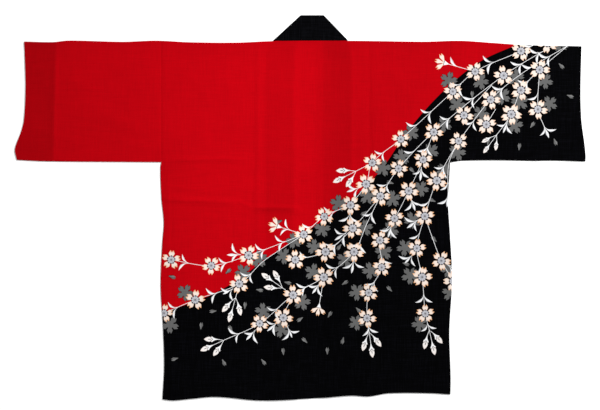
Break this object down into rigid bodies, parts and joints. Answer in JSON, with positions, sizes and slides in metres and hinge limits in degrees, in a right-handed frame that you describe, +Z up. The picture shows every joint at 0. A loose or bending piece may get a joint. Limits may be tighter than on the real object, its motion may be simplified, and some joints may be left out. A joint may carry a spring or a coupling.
{
  "type": "happi coat",
  "caption": "Wide-sleeved cotton happi coat laid flat with its back up; a folded band runs round the neck and down both front edges.",
  "frame": {"origin": "below the middle of the laid coat, on the surface that it lies on", "axes": "+X towards the wearer's right sleeve, +Y towards the collar, +Z up out of the surface, through the back of the coat"},
  "size_m": [1.2819, 0.8656, 0.0054],
  "materials": {
    "back_cotton": "matt printed cotton, red above and black below",
    "front_left_cotton": "matt printed cotton, red above and black below",
    "front_right_cotton": "matt printed cotton, black with light blossoms",
    "sleeve_left_cotton": "matt red cotton",
    "sleeve_right_cotton": "matt printed cotton, black with light blossoms",
    "collar_cotton": "matt black cotton, folded double"
  },
  "bodies": {
    "root": {"back": "back_cotton", "front_left": "front_left_cotton", "front_right": "front_right_cotton", "sleeve_left": "sleeve_left_cotton", "sleeve_right": "sleeve_right_cotton", "collar": "collar_cotton"}
  },
  "joints": []
}
